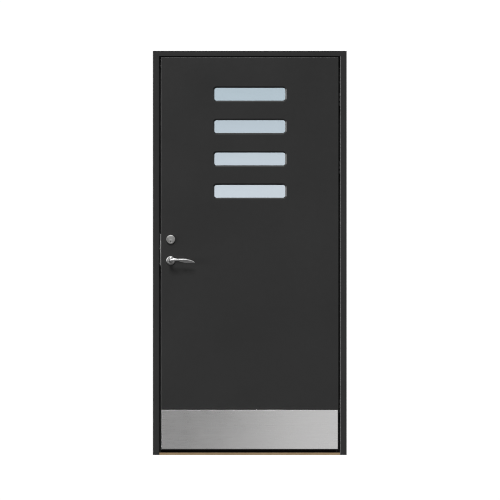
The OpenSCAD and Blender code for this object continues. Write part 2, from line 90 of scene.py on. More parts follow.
# ---------------------------------------------------------------- node helpers
class Mat:
    """A small builder for one procedural material."""

    def __init__(self, name, **values):
        self.m = bpy.data.materials.new(name)
        self.m.use_nodes = True
        self.t = self.m.node_tree
        self.t.nodes.clear()
        self.out = self.t.nodes.new("ShaderNodeOutputMaterial")
        self.p = self.t.nodes.new("ShaderNodeBsdfPrincipled")
        self.t.links.new(self.p.outputs[0], self.out.inputs["Surface"])
        for k, v in values.items():
            self.p.inputs[k.replace("_", " ")].default_value = v
        self.coord = self.t.nodes.new("ShaderNodeTexCoord").outputs["Object"]

    def link(self, a, b):
        self.t.links.new(a, b)

    def mapping(self, scale=(1, 1, 1), rotation=(0, 0, 0), location=(0, 0, 0), source=None):
        n = self.t.nodes.new("ShaderNodeMapping")
        n.inputs["Scale"].default_value = scale
        n.inputs["Rotation"].default_value = rotation
        n.inputs["Location"].default_value = location
        self.link(source or self.coord, n.inputs["Vector"])
        return n.outputs["Vector"]

    def noise(self, vector, scale, detail=3.0, rough=0.5, distortion=0.0):
        n = self.t.nodes.new("ShaderNodeTexNoise")
        n.inputs["Scale"].default_value = scale
        n.inputs["Detail"].default_value = detail
        n.inputs["Roughness"].default_value = rough
        n.inputs["Distortion"].default_value = distortion
        self.link(vector, n.inputs["Vector"])
        return n.outputs["Fac"]

    def voronoi(self, vector, scale, feature="F1"):
        n = self.t.nodes.new("ShaderNodeTexVoronoi")
        n.feature = feature
        n.inputs["Scale"].default_value = scale
        self.link(vector, n.inputs["Vector"])
        return n.outputs["Distance"]

    def wave(self, vector, scale, distortion=0.0, kind="RINGS", direction="Y", detail=2.0):
        n = self.t.nodes.new("ShaderNodeTexWave")
        n.wave_type = kind
        if kind == "RINGS":
            n.rings_direction = direction
        else:
            n.bands_direction = direction
        n.inputs["Scale"].default_value = scale
        n.inputs["Distortion"].default_value = distortion
        n.inputs["Detail"].default_value = detail
        self.link(vector, n.inputs["Vector"])
        return n.outputs["Fac"]

    def ramp(self, fac, stops, interpolation="LINEAR"):
        n = self.t.nodes.new("ShaderNodeValToRGB")
        n.color_ramp.interpolation = interpolation
        e = n.color_ramp.elements
        e[0].position, e[1].position = stops[0][0], stops[-1][0]
        e[0].color, e[1].color = self.rgba(stops[0][1]), self.rgba(stops[-1][1])
        for pos, col in stops[1:-1]:
            k = e.new(pos)
            k.color = self.rgba(col)
        self.link(fac, n.inputs["Fac"])
        return n.outputs["Color"]

    @staticmethod
    def rgba(c):
        if isinstance(c, (int, float)):
            c = (c, c, c)
        return (*c, 1.0) if len(c) == 3 else c

    def span(self, fac, lo, hi, a=0.0, b=1.0):
        n = self.t.nodes.new("ShaderNodeMapRange")
        n.inputs["From Min"].default_value = a
        n.inputs["From Max"].default_value = b
        n.inputs["To Min"].default_value = lo
        n.inputs["To Max"].default_value = hi
        self.link(fac, n.inputs["Value"])
        return n.outputs["Result"]

    def math(self, op, a, b):
        n = self.t.nodes.new("ShaderNodeMath")
        n.operation = op
        for i, v in enumerate((a, b)):
            if isinstance(v, (int, float)):
                n.inputs[i].default_value = v
            else:
                self.link(v, n.inputs[i])
        return n.outputs[0]

    def mix(self, kind, fac, a, b):
        n = self.t.nodes.new("ShaderNodeMix")
        n.data_type = "RGBA"
        n.blend_type = kind
        f, ca, cb = n.inputs[0], n.inputs[6], n.inputs[7]
        for s, v in ((f, fac), (ca, a), (cb, b)):
            if isinstance(v, (int, float)) and s is f:
                s.default_value = v
            elif isinstance(v, (int, float, tuple)):
                s.default_value = self.rgba(v)
            else:
                self.link(v, s)
        return n.outputs[2]

    def bump(self, height, strength, distance, normal=None):
        n = self.t.nodes.new("ShaderNodeBump")
        n.inputs["Strength"].default_value = strength
        n.inputs["Distance"].default_value = distance
        self.link(height, n.inputs["Height"])
        if normal is not None:
            self.link(normal, n.inputs["Normal"])
        return n.outputs["Normal"]

    def set(self, name, output):
        self.link(output, self.p.inputs[name])


def paint(name, tone, gloss=0.42, level=0.5):
    """Sprayed satin paint: fine orange peel, slow changes of tone and sheen."""
    k = Mat(name, Specular_IOR_Level=level)
    v = k.mapping()
    slow = k.noise(v, 2.2, 3, 0.55)
    mid = k.noise(v, 38.0, 3, 0.5)
    peel = k.noise(v, 420.0, 2, 0.5)
    dust = k.noise(v, 1500.0, 2, 0.6)
    c = k.mix("MIX", k.span(slow, 0.0, 1.0, 0.3, 0.7), tuple(t * 0.97 for t in tone), tuple(t * 1.03 for t in tone))
    c = k.mix("MULTIPLY", 1.0, c, k.ramp(mid, [(0.3, 0.975), (0.7, 1.0)]))
    c = k.mix("MULTIPLY", 1.0, c, k.ramp(dust, [(0.25, 0.93), (0.6, 1.0)]))
    k.set("Base Color", c)
    r = k.math("ADD", k.span(slow, gloss - 0.03, gloss + 0.03, 0.3, 0.7), k.span(mid, -0.015, 0.015, 0.3, 0.7))
    k.set("Roughness", r)
    n = k.bump(peel, 0.10, 0.00012)
    n = k.bump(dust, 0.05, 0.00005, n)
    k.set("Normal", n)
    return k.m


def brushed(name, tone, rough, direction, fine=1400.0, depth=0.06, aniso=0.0, tint=(1, 1, 1), spread=0.05):
    """Brushed metal. direction is the axis that the grain runs along."""
    k = Mat(name, Metallic=1.0, Anisotropic=aniso)
    lo = fine / 90.0
    scale = tuple(lo if i == "XYZ".index(direction) else fine for i in range(3))
    v = k.mapping(scale=scale)
    v2 = k.mapping(scale=tuple(s * 0.22 for s in scale), location=(3.1, 1.7, 5.3))
    grain = k.noise(v, 1.0, 3, 0.65)
    broad = k.noise(v2, 1.0, 2, 0.5)
    slow = k.noise(k.mapping(), 5.0, 2, 0.5)
    base = tuple(tone * c for c in tint)
    c = k.mix("MIX", k.span(grain, 0.0, 1.0, 0.3, 0.7), tuple(b * (1 - spread) for b in base), tuple(min(1.0, b * (1 + spread)) for b in base))
    c = k.mix("MULTIPLY", 1.0, c, k.ramp(broad, [(0.3, 0.965), (0.7, 1.0)]))
    k.set("Base Color", c)
    r = k.math("ADD", k.span(grain, rough - 0.04, rough + 0.04, 0.3, 0.7), k.span(slow, -0.015, 0.015, 0.3, 0.7))
    k.set("Roughness", r)
    k.set("Normal", k.bump(grain, depth, 0.00008))
    return k


def turned(name, tone, rough, pitch=5200.0, depth=0.08, axis="Y", tint=(1, 1, 1)):
    """Satin metal turned on a lathe: rings about the object's own axis."""
    k = Mat(name, Metallic=1.0)
    v = k.mapping()
    rings = k.wave(v, pitch / 20.0, 0.6, "RINGS", axis, 2.0)
    fine = k.noise(k.mapping(scale=(900, 900, 900)), 1.0, 3, 0.6)
    slow = k.noise(v, 60.0, 2, 0.5)
    base = tuple(tone * c for c in tint)
    c = k.mix("MIX", k.span(fine, 0.0, 1.0, 0.3, 0.7), tuple(b * 0.95 for b in base), tuple(min(1.0, b * 1.04) for b in base))
    c = k.mix("MULTIPLY", 1.0, c, k.ramp(slow, [(0.3, 0.95), (0.7, 1.0)]))
    k.set("Base Color", c)
    k.set("Roughness", k.math("ADD", k.span(fine, rough - 0.04, rough + 0.05, 0.3, 0.7), k.span(slow, -0.02, 0.02, 0.3, 0.7)))
    n = k.bump(rings, depth, 0.00004)
    n = k.bump(fine, 0.05, 0.00003, n)
    k.set("Normal", n)
    return k.m


def oak(name, behind):
    """Oiled oak with its grain along X: growth bands, pores and rays. Its upstand, farther back than behind (m), is
    darkened to near-black as painted shade, and a band along the top of its front is darkened as painted shade."""
    k = Mat(name)
    k.p.inputs["Specular IOR Level"].default_value = 0.35
    v = k.mapping(scale=(1.0, 9.0, 9.0))
    warp = k.noise(v, 3.0, 4, 0.6)
    bands = k.wave(k.mapping(scale=(0.35, 6.0, 7.0), rotation=(0.15, 0, 0)), 16.0, 5.5, "BANDS", "Z", 4.0)
    pores = k.noise(k.mapping(scale=(22.0, 900.0, 900.0)), 1.0, 3, 0.7)
    fine = k.noise(k.mapping(scale=(70.0, 2600.0, 2600.0)), 1.0, 2, 0.6)
    c = k.ramp(warp, [(0.25, (0.235, 0.160, 0.082)), (0.5, (0.320, 0.228, 0.124)), (0.75, (0.385, 0.285, 0.168))])
    c = k.mix("MULTIPLY", 1.0, c, k.ramp(bands, [(0.0, (0.80, 0.75, 0.68)), (0.55, (1.0, 1.0, 1.0))]))
    c = k.mix("MULTIPLY", 1.0, c, k.ramp(pores, [(0.30, (0.60, 0.54, 0.47)), (0.46, (1.0, 1.0, 1.0))]))
    c = k.mix("MULTIPLY", 1.0, c, k.ramp(fine, [(0.3, 0.93), (0.6, 1.0)]))
    sep = k.t.nodes.new("ShaderNodeSeparateXYZ")
    k.link(k.coord, sep.inputs[0])
    # painted shade: the oak behind the front is multiplied to near-black, standing in for the shade deep in the gap
    # under the leaf
    upstand_shade = k.math("GREATER_THAN", sep.outputs["Y"], behind)
    c = k.mix("MIX", upstand_shade, c, k.mix("MULTIPLY", 1.0, c, (0.022, 0.028, 0.045)))
    # painted shade: from about 8.5 to 11.5 mm up the oak darkens to 0.46, a band along the top of the front where the
    # leaf above shades it
    top_shade_height = k.math("ADD", k.math("MULTIPLY", sep.outputs["Z"], 1000.0), k.span(warp, -0.8, 0.8, 0.3, 0.7))
    c = k.mix("MULTIPLY", 1.0, c, k.ramp(k.span(top_shade_height, 0.0, 1.0, 8.5, 11.5), [(0.0, 1.0), (1.0, (0.46, 0.43, 0.40))]))
    k.set("Base Color", c)
    k.set("Roughness", k.span(pores, 0.62, 0.46, 0.3, 0.6))
    n = k.bump(pores, 0.35, 0.00015)
    n = k.bump(fine, 0.15, 0.00006, n)
    k.set("Normal", n)
    return k.m


def rubber(name):
    k = Mat(name)
    k.p.inputs["Specular IOR Level"].default_value = 0.3
    v = k.mapping()
    fine = k.noise(v, 900.0, 3, 0.6)
    slow = k.noise(v, 14.0, 2, 0.5)
    c = k.mix("MIX", k.span(slow, 0, 1, 0.3, 0.7), (0.0095, 0.0095, 0.0095), (0.0145, 0.0145, 0.0148))
    k.set("Base Color", c)
    k.set("Roughness", k.span(fine, 0.58, 0.72, 0.3, 0.7))
    k.set("Normal", k.bump(fine, 0.12, 0.00008))
    return k.m


def foam(name):
    k = Mat(name, Roughness=0.9)
    v = k.mapping()
    cells = k.voronoi(v, 700.0)
    slow = k.noise(v, 9.0, 3, 0.5)
    c = k.ramp(cells, [(0.0, (0.50, 0.42, 0.25)), (0.5, (0.80, 0.72, 0.50))])
    c = k.mix("MULTIPLY", 1.0, c, k.ramp(slow, [(0.3, 0.88), (0.7, 1.0)]))
    k.set("Base Color", c)
    k.set("Normal", k.bump(cells, 0.4, 0.0004))
    return k.m


def casting(name, tone=0.03):
    k = Mat(name, Metallic=0.0)
    v = k.mapping()
    grain = k.noise(v, 850.0, 3, 0.6)
    slow = k.noise(v, 30.0, 2, 0.5)
    c = k.mix("MIX", k.span(slow, 0, 1, 0.3, 0.7), (tone * 0.85,) * 3, (tone * 1.2,) * 3)
    k.set("Base Color", c)
    k.set("Roughness", k.span(grain, 0.42, 0.58, 0.3, 0.7))
    k.set("Normal", k.bump(grain, 0.25, 0.0002))
    return k.m


def pane(name, tone):
    """Etched glass: smooth outside, milky behind it."""
    k = Mat(name, Coat_Weight=0.6, Coat_Roughness=0.04)
    k.p.inputs["Specular IOR Level"].default_value = 0.3
    v = k.mapping()
    etch = k.noise(v, 2400.0, 2, 0.6)
    cloud = k.noise(k.mapping(scale=(1.0, 1.0, 3.0)), 6.0, 3, 0.5)
    c = k.mix("MIX", k.span(cloud, 0, 1, 0.3, 0.7), tuple(t * 0.985 for t in tone), tuple(min(1, t * 1.015) for t in tone))
    c = k.mix("MULTIPLY", 1.0, c, k.ramp(etch, [(0.3, 0.985), (0.7, 1.0)]))
    k.set("Base Color", c)
    k.set("Roughness", k.span(etch, 0.34, 0.44, 0.3, 0.7))
    k.set("Normal", k.bump(etch, 0.04, 0.00003))
    return k.m


# ---------------------------------------------------------------- materials
PAINT = 0.0225
M = {}
M["frame_paint"] = paint("frame_paint", (PAINT, PAINT, PAINT), 0.35, 0.5)
M["leaf_paint"] = paint("leaf_paint", (PAINT, PAINT, PAINT), 0.35, 0.5)
M["bead_paint"] = paint("bead_paint", (PAINT, PAINT, PAINT), 0.33, 0.5)
M["oak"] = oak("oak_oiled", 0.0125)
M["seal_rubber"] = rubber("seal_rubber")
M["core_foam"] = foam("core_foam")
M["hinge_casting"] = casting("hinge_casting")
M["hinge_steel"] = casting("hinge_steel", 0.02)
kp = brushed("kick_plate_brushed", 0.895, 0.30, "X", 1500.0, 0.03, 0.0, (1.0, 0.992, 0.99), 0.03)
M["brushed_sheet"] = kp.m
M["lock_steel"] = brushed("lock_steel_satin", 0.58, 0.34, "Z", 1600.0, 0.05).m
M["lever_steel"] = brushed("lever_steel_polished", 0.80, 0.36, "X", 1700.0, 0.02, spread=0.02).m
M["rose_steel"] = turned("rose_steel_satin", 0.64, 0.37)
M["cylinder_steel"] = turned("cylinder_steel_satin", 0.64, 0.42, tint=(1.0, 0.995, 0.985))
M["cylinder_face"] = turned("cylinder_face_satin", 0.76, 0.36, tint=(1.0, 0.995, 0.985))
M["strike_steel"] = brushed("strike_steel_blackened", 0.06, 0.45, "Z", 1500.0, 0.05).m
M["screw_steel"] = turned("screw_steel", 0.45, 0.33)
# painted shade: a near-black finish for the sheet at the floor of the keyway
M["dark_recess"] = casting("keyway_painted_shade", 0.006)
M["cap_plastic"] = casting("cap_plastic", 0.022)
M["spacer_alu"] = brushed("spacer_aluminium", 0.55, 0.4, "X", 900.0, 0.03).m
# painted light: the four pane tones step lighter from the top pane down to the bottom one, a gradient of light and
# reflection put into their colour
GLASS = [
    pane(f"pane_glass_{i + 1}", t)
    for i, t in enumerate(
        [(0.483, 0.588, 0.658), (0.523, 0.614, 0.686), (0.573, 0.656, 0.726), (0.628, 0.703, 0.768)]
    )
]


def smooth_group():
    """Shades smooth except over edges sharper than 32 degrees."""
    g = bpy.data.node_groups.new("smooth_by_angle", "GeometryNodeTree")
    g.interface.new_socket("Geometry", in_out="INPUT", socket_type="NodeSocketGeometry")
    g.interface.new_socket("Geometry", in_out="OUTPUT", socket_type="NodeSocketGeometry")
    i = g.nodes.new("NodeGroupInput")
    o = g.nodes.new("NodeGroupOutput")
    a = g.nodes.new("GeometryNodeSetShadeSmooth")
    a.domain = "FACE"
    b = g.nodes.new("GeometryNodeSetShadeSmooth")
    b.domain = "EDGE"
    ang = g.nodes.new("GeometryNodeInputMeshEdgeAngle")
    cmp = g.nodes.new("FunctionNodeCompare")
    cmp.data_type = "FLOAT"
    cmp.operation = "GREATER_THAN"
    cmp.inputs[1].default_value = radians(32)
    g.links.new(i.outputs[0], a.inputs["Geometry"])
    a.inputs["Shade Smooth"].default_value = True
    g.links.new(a.outputs[0], b.inputs["Geometry"])
    g.links.new(ang.outputs["Unsigned Angle"], cmp.inputs[0])
    g.links.new(cmp.outputs[0], b.inputs["Selection"])
    b.inputs["Shade Smooth"].default_value = False
    g.links.new(b.outputs[0], o.inputs[0])
    return g


SMOOTH = smooth_group()


def finish_cad(node, slot):
    """Gives a carried-over CAD node its material and smooth shading."""
    o = NODES[node]
    if not o.material_slots:
        o.data.materials.append(M[slot])
    for s in o.material_slots:
        s.material = M[slot]
    w = o.modifiers.new("weld", "WELD")
    w.merge_threshold = 0.000002
    m = o.modifiers.new("smooth", "NODES")
    m.node_group = SMOOTH


# ---------------------------------------------------------------- mesh helpers
def add_piece(name, verts, faces, material, body, slot, origin=(0, 0, 0), nodes=(), angle=32, uv=None):
    """A mesh in mm, with its own origin (mm) so that turned finishes centre on it."""
    me = bpy.data.meshes.new(name)
    ox = Vector(origin)
    me.from_pydata([((Vector(v) - ox) * MM)[:] for v in verts], [], faces)
    me.validate()
    me.materials.append(material)
    o = bpy.data.objects.new(name, me)
    scene.collection.objects.link(o)
    o.location = ox * MM
    bpy.context.view_layer.update()
    me.polygons.foreach_set("use_smooth", [True] * len(me.polygons))
    me.set_sharp_from_angle(angle=radians(angle))
    if uv is not None:
        layer = me.uv_layers.new(name="UVMap")
        for loop in me.loops:
            co = me.vertices[loop.vertex_index].co
            layer.data[loop.index].uv = uv(co)
    fix_normals(me)
    if nodes:
        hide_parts(*nodes)
    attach(o, body)
    return o


def fix_normals(me):
    b = bmesh.new()
    b.from_mesh(me)
    bmesh.ops.remove_doubles(b, verts=b.verts, dist=1e-7)
    bmesh.ops.recalc_face_normals(b, faces=b.faces)
    b.to_mesh(me)
    b.free()
    me.update()


def merge(parts):
    """Several (verts, faces) as one."""
    vs, fs = [], []
    for v, f in parts:
        n = len(vs)
        vs.extend(v)
        fs.extend([tuple(i + n for i in q) for q in f])
    return vs, fs


def moved(part, matrix):
    v, f = part
    return [tuple(matrix @ Vector(p)) for p in v], f


def loft(rings, cap_start=True, cap_end=True):
    """Rings of equal length joined to each other in order."""
    n = len(rings[0])
    verts = [p for r in rings for p in r]
    faces = []
    for i in range(len(rings) - 1):
        for j in range(n):
            a, b = i * n + j, i * n + (j + 1) % n
            faces.append((a, b, b + n, a + n))
    if cap_start:
        faces.append(tuple(range(n))[::-1])
    if cap_end:
        faces.append(tuple((len(rings) - 1) * n + j for j in range(n)))
    return verts, faces


def tube(rings):
    """Rings joined in a closed loop, the last to the first."""
    n, m = len(rings[0]), len(rings)
    verts = [p for r in rings for p in r]
    faces = []
    for i in range(m):
        for j in range(n):
            a, b = i * n + j, i * n + (j + 1) % n
            c, d = ((i + 1) % m) * n + (j + 1) % n, ((i + 1) % m) * n + j
            faces.append((a, b, c, d))
    return verts, faces


def rounded(points, radius, steps=4, closed=False):
    """A polyline with its corners rounded. radius is one number or one per point."""
    n = len(points)
    rs = radius if isinstance(radius, (list, tuple)) else [radius] * n
    out = []
    for i, p in enumerate(points):
        if (not closed and i in (0, n - 1)) or rs[i] <= 0:
            out.append(tuple(p))
            continue
        a, b, c = Vector(points[i - 1]), Vector(p), Vector(points[(i + 1) % n])
        u, w = (a - b), (c - b)
        lu, lw = u.length, w.length
        u.normalize()
        w.normalize()
        dot = max(-1.0, min(1.0, u.dot(w)))
        half = (pi - acos(dot)) / 2
        if half < 0.02:
            out.append(tuple(p))
            continue
        t = min(rs[i] * tan(half), lu * 0.49, lw * 0.49)
        s, e = b + u * t, b + w * t
        for k in range(steps + 1):
            f = k / steps
            q = s * (1 - f) ** 2 + b * 2 * f * (1 - f) + e * f**2
            out.append(tuple(q))
    return out


def lathe(profile, n=96, closed=True):
    """(radius, height) points about the local Z axis."""
    rings = []
    for j in range(n):
        a = 2 * pi * j / n
        rings.append([(r * cos(a), r * sin(a), h) for r, h in profile])
    m = len(profile)
    verts = [p for r in rings for p in r]
    faces = []
    for j in range(n):
        for i in range(m if closed else m - 1):
            a = j * m + i
            b = j * m + (i + 1) % m
            c = ((j + 1) % n) * m + (i + 1) % m
            d = ((j + 1) % n) * m + i
            faces.append((a, b, c, d))
    return verts, faces


def solid_lathe(profile, n=96):
    """Like lathe, for a profile that starts and ends on the axis."""
    core = profile[1:-1]
    verts, faces = lathe(core, n, closed=False)
    m = len(core)
    for end, idx in ((profile[0], 0), (profile[-1], m - 1)):
        c = len(verts)
        verts.append((0, 0, end[1]))
        for j in range(n):
            faces.append((c, j * m + idx, ((j + 1) % n) * m + idx))
    return verts, faces


def rrect(w, h, r, n=8):
    """A rectangle with round corners, in its own plane, counter-clockwise."""
    r = max(0.02, min(r, w / 2 - 0.01, h / 2 - 0.01))
    pts = []
    for cx, cy, a0 in ((1, 1, 0), (-1, 1, 90), (-1, -1, 180), (1, -1, 270)):
        for k in range(n + 1):
            a = radians(a0 + 90 * k / n)
            pts.append((cx * (w / 2 - r) + r * cos(a), cy * (h / 2 - r) + r * sin(a)))
    return pts


def slab(outline, offsets):
    """outline(d) gives points inset by d; offsets are (inset, height) from back to front."""
    return loft([[(x, y, h) for x, y in outline(d)] for d, h in offsets])


def edged(h0, h1, e, steps=3):
    """Insets and heights of a slab with rounded edges at both faces. One more loop just
    inside each edge keeps the shading of the flat faces flat."""
    lo = [(e * (1 - sin(k / steps * pi / 2)), h0 + e * (1 - cos(k / steps * pi / 2))) for k in range(steps + 1)]
    hi = [(e * (1 - cos(k / steps * pi / 2)), h1 - e * (1 - sin(k / steps * pi / 2))) for k in range(steps + 1)]
    return [(e + 0.7, h0)] + lo + hi + [(e + 0.7, h1)]


def cut(obj, *tools):
    """Cuts closed meshes (verts, faces in the row frame, mm) out of a piece."""
    for t in tools:
        me = bpy.data.meshes.new("tool")
        me.from_pydata([(Vector(v) * MM)[:] for v in t[0]], [], t[1])
        fix_normals(me)
        c = bpy.data.objects.new("tool", me)
        scene.collection.objects.link(c)
        m = obj.modifiers.new("cut", "BOOLEAN")
        m.operation = "DIFFERENCE"
        m.solver = "EXACT"
        m.object = c
        bpy.context.view_layer.update()
        dg = bpy.context.evaluated_depsgraph_get()
        new = bpy.data.meshes.new_from_object(obj.evaluated_get(dg))
        obj.modifiers.remove(m)
        old = obj.data
        obj.data = new
        new.name = old.name
        bpy.data.objects.remove(c)
    obj.data.polygons.foreach_set("use_smooth", [True] * len(obj.data.polygons))
    obj.data.set_sharp_from_angle(angle=radians(32))
    return obj


def prism(outline, h0, h1):
    return loft([[(x, y, h0) for x, y in outline], [(x, y, h1) for x, y in outline]])


# Local frames: +Z of a part points out of the surface it stands on
OUT = Matrix(((1, 0, 0), (0, 0, -1), (0, 1, 0))).to_4x4()  # local z -> -Y, local y -> +Z
INN = Matrix(((-1, 0, 0), (0, 0, 1), (0, 1, 0))).to_4x4()  # local z -> +Y, local y -> +Z


def on_face(x, z, out):
    y = Y0 if out < 0 else Y1
    return Matrix.Translation((x, y, z)) @ (OUT if out < 0 else INN)


def lock_edge(y):
    return -LEAF_X + BEVEL * (y - Y0) / LEAF_T


def on_edge(z):
    """Local x into the leaf, y along the edge's width, z up."""
    return Matrix.Translation((lock_edge(YM), YM, z)) @ Matrix.Rotation(-BEVEL_A, 4, "Z")


# local z -> -x of the edge frame (out of the lock edge), local x -> y, local y -> z
EDGE_OUT = Matrix(((0, 0, -1), (-1, 0, 0), (0, 1, 0))).to_4x4()


def screw(r=3.6, kind="cross"):
    """A countersunk head seen from above, its face at z = 0."""
    rings = []
    n = 48
    prof = [(r * 0.35, -2.4), (r * 0.93, -0.55), (r, -0.25), (r, -0.08), (r * 0.95, 0.0)]
    for rr, h in prof:
        rings.append([(rr * cos(2 * pi * j / n), rr * sin(2 * pi * j / n), h) for j in range(n)])
    # recess: a star-shaped outline that goes down
    lobes = 4 if kind == "cross" else 6

    def star(k, h):
        pts = []
        for j in range(n):
            a = 2 * pi * j / n
            if lobes == 4:
                c = max(abs(cos(a)), abs(sin(a)))
                s = min(abs(cos(a)), abs(sin(a)))
                rr = r * 0.56 if s < 0.27 * c * 1.15 else r * 0.21 / max(s, 0.2) * 0.98
                rr = min(rr, r * 0.56)
            else:
                rr = r * (0.42 + 0.07 * cos(6 * a))
            pts.append((k * rr * cos(a), k * rr * sin(a), h))
        return pts

    rings.append(star(1.08, 0.0))
    rings.append(star(1.0, -0.12))
    rings.append(star(0.72, -1.5))
    return loft(rings)


# ---------------------------------------------------------------- carried-over CAD nodes
for n in ("hinge_jamb", "lock_jamb", "head", "hinge_stop", "lock_stop", "head_stop"):
    finish_cad(n, "frame_paint")
for n in ("leaf_outer_skin", "leaf_inner_skin", "leaf_hinge_stile", "leaf_lock_stile", "leaf_top_rail", "leaf_bottom_rail"):
    finish_cad(n, "leaf_paint")
for n in ("window_beads_outer", "window_beads_inner"):
    finish_cad(n, "bead_paint")
finish_cad("threshold", "oak")
finish_cad("leaf_core", "core_foam")
finish_cad("hinge_cups_frame", "hinge_casting")
finish_cad("hinge_cups_leaf", "hinge_casting")
finish_cad("hinge_links", "hinge_steel")
finish_cad("spindle", "lock_steel")


# ---------------------------------------------------------------- levers
# Place along x, place out from the face, heading, top, bottom, thickness at the top
# and at the bottom, lean of the lower part, how far the front is a bevel under the ridge
LV, BEND = 50.0, 16.0
STATIONS = [
    (0, 2, 0, 10, -10, 20, 20, 0, 0),
    (0, LV - BEND - 4, 0, 10, -10, 20, 20, 0, 0),
    (0, LV - BEND, 0, 10, -10, 20, 20, 0, 0),
    (BEND * (1 - cos(radians(30))), LV - BEND + BEND * sin(radians(30)), 30, 10, -9.4, 19.4, 19, 0, 0),
    (BEND * (1 - cos(radians(60))), LV - BEND + BEND * sin(radians(60)), 60, 10, -7.0, 16.5, 14, 0, 0.3),
    (BEND, LV, 90, 9.7, -4.2, 12.0, 10.5, 0, 0.7),
    (24, LV, 90, 9.3, -2.8, 10.2, 8.6, 0.4, 0.9),
    (33, LV, 90, 8.9, -2.2, 9.2, 6.8, 1.2, 1),
    (43, LV, 90, 8.9, -3.8, 8.8, 5.0, 2.6, 1),
    (51, LV, 90, 9.0, -6.8, 8.6, 3.8, 4.2, 1),
    (60, LV, 90, 9.0, -9.0, 8.4, 3.2, 5.6, 1),
    (72, LV - 0.4, 90, 8.9, -11.6, 8.2, 3.0, 6.6, 1),
    (80, LV - 0.8, 90, 8.4, -12.2, 8, 3.0, 6.8, 1),
    (86, LV - 1.2, 90, 7.2, -12.3, 7.6, 3.0, 6.8, 1),
    (92, LV - 1.8, 90, 5.6, -12.4, 7.2, 3.0, 6.4, 1),
    (97, LV - 2.3, 90, 4.2, -12.4, 6.8, 3.0, 5.8, 1),
    (102, LV - 2.9, 90, 2.8, -12.4, 6.4, 3.0, 5.2, 1),
    (107, LV - 3.5, 90, 1.4, -12.4, 6.0, 3.0, 4.6, 1),
    (112, LV - 4.3, 90, -0.8, -12.4, 5.4, 2.8, 3.8, 1),
    (117, LV - 5.2, 90, -3.2, -12.4, 4.6, 2.6, 2.8, 1),
    (120.5, LV - 6.1, 90, -6.2, -12.4, 3.6, 2.2, 1.8, 0.8),
    (123, LV - 7, 90, -9.6, -12.4, 1.8, 1.4, 0.6, 0.5),
]
BEVEL_UP = tan(radians(11.8))


def between(i, t):
    g = lambda k: STATIONS[min(max(k, 0), len(STATIONS) - 1)]
    return [
        0.5 * (2 * b + (c - a) * t + (2 * a - 5 * b + 4 * c - d) * t * t + (3 * b - a - 3 * c + d) * t**3)
        for a, b, c, d in zip(g(i - 1), g(i), g(i + 1), g(i + 2))
    ]


def wing_front(v, c, s):
    """How far the wing's front stands out at v (0 at its top, 1 at its bottom): a bevel
    that looks up under the top edge, then a flat that leans in towards the bottom."""
    high, half, low = s[3] - s[4], s[5] / 2, s[6] / 2
    bevel, v0 = min(5.6, 0.45 * high), 0.012
    start = max(0.25 * half, half - BEVEL_UP * bevel)
    vb = v0 + bevel / high
    r = min(1.0, c / 0.22)
    up = start * r + BEVEL_UP * max(0.0, v - v0) * high
    down = half + (v - vb) / (1 - vb) * (low - s[7] - half) - low * (1 - r) * (v > 0.5)
    soft = 0.25
    d = up - down
    return (up + down) / 2 - ((d * d + soft * soft) ** 0.5 - soft * exp(-abs(d))) / 2


def lever_mesh(sides=72, sub=7):
    rings = []
    rows = [between(i, k / sub) for i in range(len(STATIONS) - 1) for k in range(sub)] + [list(STATIONS[-1])]
    for s in rows:
        ring = []
        h = radians(s[2])
        for j in range(sides):
            u = 2 * pi * j / sides
            v = (1 - sin(u)) / 2
            half = (s[5] + (s[6] - s[5]) * v) / 2
            n = cos(u) * half - s[7] * v**1.4
            if cos(u) > 0:
                n += s[8] * (wing_front(v, cos(u), s) - n)
            z = s[3] - v * (s[3] - s[4])
            ring.append((s[0] - n * cos(h), -(s[1] + n * sin(h)), z))
        rings.append(ring)
    return loft(rings)


lv, lf = lever_mesh()
for name, y, flip in (("lever_outer", Y0, 1), ("lever_inner", Y1, -1)):
    place = Matrix.Translation((HX, y, HANDLE_Z)) @ Matrix.Diagonal((1, flip * 0.992, 1, 1))
    part = moved((lv, lf), place)
    o = add_piece(
        name + "_cast", *part, M["lever_steel"], "handle", "lever_steel", (HX, y, HANDLE_Z), (name,), angle=60
    )
    # the grub screw's socket under the neck
    down = Matrix.Translation((HX, y + flip * -17, HANDLE_Z - 9.2)) @ Matrix.Rotation(pi, 4, "X")
    cut(o, moved(loft([[(2.3 * cos(2 * pi * a / 32), 2.3 * sin(2 * pi * a / 32), h) for a in range(32)] for h in (2.0, -0.6)]), down))
    g = merge([moved(solid_lathe([(0, -0.2), (1.25, -0.2), (1.3, 0.3), (1.9, 0.35), (2.2, 0.1), (2.2, -1.4), (0, -1.4)], 32), down)])
    add_piece(name + "_grub_screw", *g, M["screw_steel"], "handle", "lock_steel", tuple(down.translation))


# ---------------------------------------------------------------- roses
ROSE = rounded(
    [(10.3, 0), (23, 0), (23, 5.1), (19.3, 8.75), (18.7, 9), (18.2, 8.7), (17.4, 6.6), (14.2, 6.4), (13.2, 9), (11.4, 9), (10.3, 8.2)],
    [0, 0.5, 1.2, 0.5, 0.3, 0.4, 0.8, 1.2, 0.7, 0.7, 0.5],
    5,
    closed=True,
)
for name, out in (("rose_outer", -1), ("rose_inner", 1)):
    v, f = moved(lathe(ROSE, 128), on_face(HX, HANDLE_Z, out))
    y = Y0 if out < 0 else Y1
    add_piece(name + "_turned", v, f, M["rose_steel"], "leaf", "rose_steel", (HX, y, HANDLE_Z), (name,))

TURN_ROSE = rounded(
    [(7.3, 0), (23, 0), (23, 5.4), (21.6, 8.2), (19.4, 9), (10.5, 9), (9.2, 7.6), (7.3, 7.6)],
    [0, 0.5, 2.2, 1.2, 1.6, 0.6, 0.6, 0.4],
    5,
    closed=True,
)
v, f = moved(lathe(TURN_ROSE, 128), on_face(HX, CYL_Z, 1))
add_piece("turn_rose_turned", v, f, M["rose_steel"], "leaf", "rose_steel", (HX, Y1, CYL_Z), ("turn_rose",))


